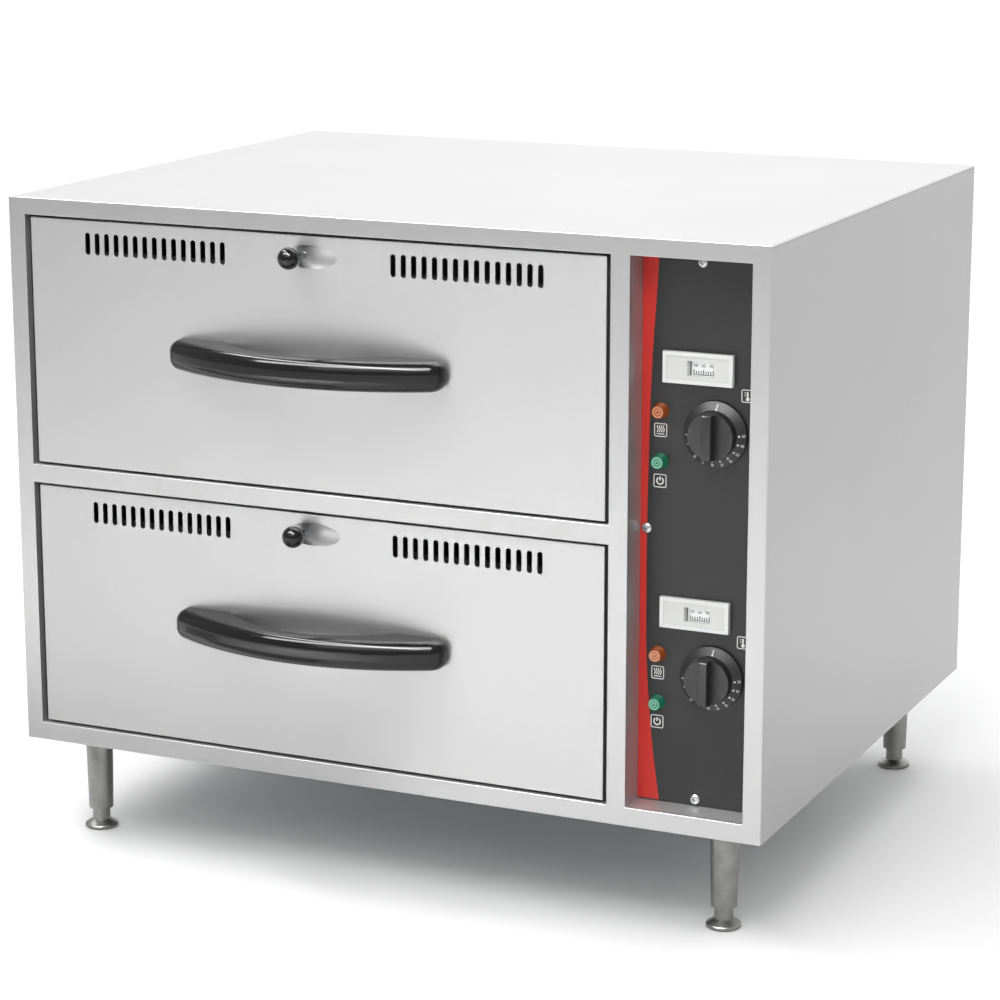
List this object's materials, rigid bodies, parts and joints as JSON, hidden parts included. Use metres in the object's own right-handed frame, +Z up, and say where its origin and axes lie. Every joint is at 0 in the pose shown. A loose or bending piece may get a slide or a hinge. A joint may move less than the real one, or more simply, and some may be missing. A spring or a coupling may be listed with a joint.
{
  "type": "freestanding warming drawer",
  "caption": "Stainless steel warming cabinet on levelling legs, with stacked vented pan drawers at left and a recessed column of thermostat controls at right.",
  "frame": {"origin": "on the floor, under the middle of the box that holds the whole object", "axes": "+X to the right seen from the front, +Y to the back, +Z up"},
  "size_m": [0.75, 0.667, 0.623],
  "materials": {
    "stainless": "brushed stainless sheet",
    "plated_sheet": "zinc plated sheet",
    "bright_screw": "bright plated",
    "leg_metal": "satin plated",
    "liner_steel": "plain stainless sheet",
    "pan_steel": "drawn stainless sheet",
    "mineral_wool": "felted wool",
    "slide_steel": "zinc plated",
    "heater_sheath": "dark oxidised tube",
    "overlay_film": "printed film, satin",
    "white_plastic": "moulded, light gloss",
    "black_plastic": "moulded, gloss",
    "clear_window": "clear",
    "amber_lens": "clear tinted lens",
    "green_lens": "clear tinted lens",
    "terminal_plastic": "moulded, dull",
    "seal_rubber": "dull",
    "pointer_paint": "painted"
  },
  "bodies": {
    "cabinet": {"outer_wrap": "stainless", "front_frame": "stainless", "bottom_panel": "plated_sheet", "rear_cover": "plated_sheet", "rear_cover_screws": "bright_screw", "legs": "leg_metal", "leg_plates": "plated_sheet", "upper_cavity": "liner_steel", "lower_cavity": "liner_steel", "insulation": "mineral_wool", "slide_outer_members": "slide_steel", "upper_heater": "heater_sheath", "lower_heater": "heater_sheath", "heater_clips": "slide_steel", "control_partition": "plated_sheet", "control_panel": "plated_sheet", "control_overlay": "overlay_film", "panel_screws": "bright_screw", "upper_thermometer": "white_plastic", "lower_thermometer": "white_plastic", "thermometer_windows": "clear_window", "amber_lamps": "amber_lens", "green_lamps": "green_lens", "upper_thermostat": "plated_sheet", "lower_thermostat": "plated_sheet", "terminal_block": "terminal_plastic", "cable_gland": "terminal_plastic"},
    "upper_drawer": {"upper_drawer_front": "stainless", "upper_drawer_liner": "liner_steel", "upper_handle": "black_plastic", "upper_handle_screws": "bright_screw", "upper_drawer_seal": "seal_rubber", "upper_drawer_frame": "liner_steel", "upper_food_pan": "pan_steel", "upper_slide_inner": "slide_steel"},
    "upper_slide_carriage": {"upper_slide_middle": "slide_steel"},
    "upper_damper": {"upper_damper_plate": "plated_sheet", "upper_damper_knob": "black_plastic"},
    "upper_dial": {"upper_thermostat_knob": "black_plastic", "upper_thermostat_shaft": "plated_sheet"},
    "upper_pointer": {"upper_thermometer_pointer": "pointer_paint"},
    "lower_drawer": {"lower_drawer_front": "stainless", "lower_drawer_liner": "liner_steel", "lower_handle": "black_plastic", "lower_handle_screws": "bright_screw", "lower_drawer_seal": "seal_rubber", "lower_drawer_frame": "liner_steel", "lower_food_pan": "pan_steel", "lower_slide_inner": "slide_steel"},
    "lower_slide_carriage": {"lower_slide_middle": "slide_steel"},
    "lower_damper": {"lower_damper_plate": "plated_sheet", "lower_damper_knob": "black_plastic"},
    "lower_dial": {"lower_thermostat_knob": "black_plastic", "lower_thermostat_shaft": "plated_sheet"},
    "lower_pointer": {"lower_thermometer_pointer": "pointer_paint"},
    "front_left_levelling_foot": {"front_left_foot": "leg_metal"},
    "front_right_levelling_foot": {"front_right_foot": "leg_metal"},
    "rear_left_levelling_foot": {"rear_left_foot": "leg_metal"},
    "rear_right_levelling_foot": {"rear_right_foot": "leg_metal"}
  },
  "joints": [
    {"name": "upper_drawer_slide", "type": "slide", "parent": "cabinet", "child": "upper_drawer", "axis": [0, -1, 0], "range_m": [0, 0.4]},
    {"name": "upper_carriage_slide", "type": "slide", "parent": "cabinet", "child": "upper_slide_carriage", "axis": [0, -1, 0], "range_m": [0, 0.2]},
    {"name": "upper_damper_slide", "type": "slide", "parent": "upper_drawer", "child": "upper_damper", "axis": [1, 0, 0], "range_m": [0, 0.005]},
    {"name": "upper_dial_turn", "type": "hinge", "parent": "cabinet", "child": "upper_dial", "pos_m": [0.317, -0.2545, 0.453], "axis": [0, 1, 0], "range_deg": [0, 270]},
    {"name": "upper_pointer_slide", "type": "slide", "parent": "cabinet", "child": "upper_pointer", "axis": [1, 0, 0], "range_m": [0, 0.02]},
    {"name": "lower_drawer_slide", "type": "slide", "parent": "cabinet", "child": "lower_drawer", "axis": [0, -1, 0], "range_m": [0, 0.4]},
    {"name": "lower_carriage_slide", "type": "slide", "parent": "cabinet", "child": "lower_slide_carriage", "axis": [0, -1, 0], "range_m": [0, 0.2]},
    {"name": "lower_damper_slide", "type": "slide", "parent": "lower_drawer", "child": "lower_damper", "axis": [1, 0, 0], "range_m": [0, 0.005]},
    {"name": "lower_dial_turn", "type": "hinge", "parent": "cabinet", "child": "lower_dial", "pos_m": [0.317, -0.2545, 0.235], "axis": [0, 1, 0], "range_deg": [0, 270]},
    {"name": "lower_pointer_slide", "type": "slide", "parent": "cabinet", "child": "lower_pointer", "axis": [1, 0, 0], "range_m": [0, 0.02]},
    {"name": "front_left_foot_turn", "type": "hinge", "parent": "cabinet", "child": "front_left_levelling_foot", "pos_m": [-0.325, -0.2365, 0], "axis": [0, 0, 1], "continuous": true},
    {"name": "front_right_foot_turn", "type": "hinge", "parent": "cabinet", "child": "front_right_levelling_foot", "pos_m": [0.325, -0.2365, 0], "axis": [0, 0, 1], "continuous": true},
    {"name": "rear_left_foot_turn", "type": "hinge", "parent": "cabinet", "child": "rear_left_levelling_foot", "pos_m": [-0.325, 0.2675, 0], "axis": [0, 0, 1], "continuous": true},
    {"name": "rear_right_foot_turn", "type": "hinge", "parent": "cabinet", "child": "rear_right_levelling_foot", "pos_m": [0.325, 0.2675, 0], "axis": [0, 0, 1], "continuous": true}
  ],
  "couplings": [
    {"joint": "upper_carriage_slide", "follows": "upper_drawer_slide", "ratio": 0.5},
    {"joint": "lower_carriage_slide", "follows": "lower_drawer_slide", "ratio": 0.5}
  ]
}
